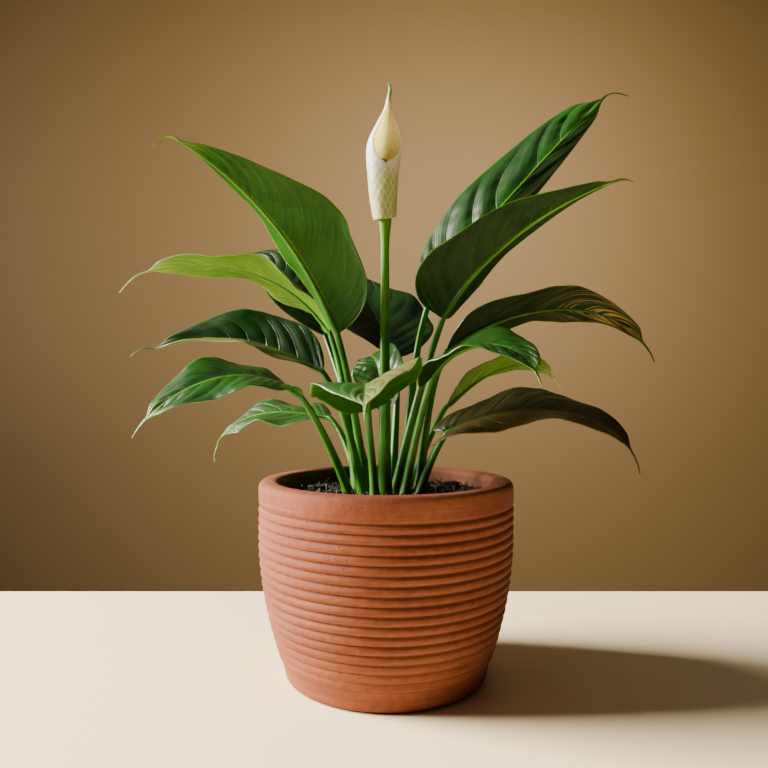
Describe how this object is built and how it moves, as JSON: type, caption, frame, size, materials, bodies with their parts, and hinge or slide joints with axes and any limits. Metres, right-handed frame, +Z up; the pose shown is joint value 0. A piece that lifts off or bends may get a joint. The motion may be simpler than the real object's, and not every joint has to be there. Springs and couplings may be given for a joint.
{
  "type": "potted peace lily",
  "caption": "Live peace lily with arching leaves and one closed bract on a tall stalk, growing in a ribbed round clay pot filled with potting mix.",
  "frame": {"origin": "middle of the pot's foot, on the surface that the pot stands on", "axes": "+Z up along the pot's axis; -Y towards the front of the plant; +X to its right"},
  "size_m": [0.34, 0.2289, 0.3556],
  "materials": {
    "terracotta": "unglazed fired clay, dry and slightly dusty, ribbed by hand",
    "potting_mix": "damp dark potting mix with shredded bark",
    "bark": "shredded bark chips, damp",
    "crown": "fleshy rootstock with roots",
    "leaf": "glossy dark green above, paler satin green below, with sunken side veins",
    "stalk": "smooth satin green",
    "spathe": "cream bract, green at its foot and tip, with a raised pale net",
    "spadix": "golden, densely beaded"
  },
  "bodies": {
    "root": {"pot": "terracotta", "drain_crock": "terracotta", "root_crown": "crown", "soil": "potting_mix", "left_tall_blade": "leaf", "left_tall_stalk": "stalk", "left_high_blade": "leaf", "left_high_stalk": "stalk", "back_left_high_blade": "leaf", "back_left_high_stalk": "stalk", "left_middle_blade": "leaf", "left_middle_stalk": "stalk", "left_low_blade": "leaf", "left_low_stalk": "stalk", "back_left_low_blade": "leaf", "back_left_low_stalk": "stalk", "front_blade": "leaf", "front_stalk": "stalk", "centre_small_blade": "leaf", "centre_small_stalk": "stalk", "back_high_blade": "leaf", "back_high_stalk": "stalk", "right_tall_blade": "leaf", "right_tall_stalk": "stalk", "right_high_blade": "leaf", "right_high_stalk": "stalk", "right_middle_blade": "leaf", "right_middle_stalk": "stalk", "right_front_blade": "leaf", "right_front_stalk": "stalk", "back_right_low_blade": "leaf", "back_right_low_stalk": "stalk", "right_low_blade": "leaf", "right_low_stalk": "stalk", "flower_stalk": "stalk", "spathe": "spathe", "spadix": "spadix", "bark_chip_1": "bark", "bark_chip_2": "bark", "bark_chip_3": "bark", "bark_chip_4": "bark", "bark_chip_5": "bark", "bark_chip_6": "bark", "bark_chip_7": "bark", "bark_chip_8": "bark", "bark_chip_9": "bark"}
  },
  "joints": []
}
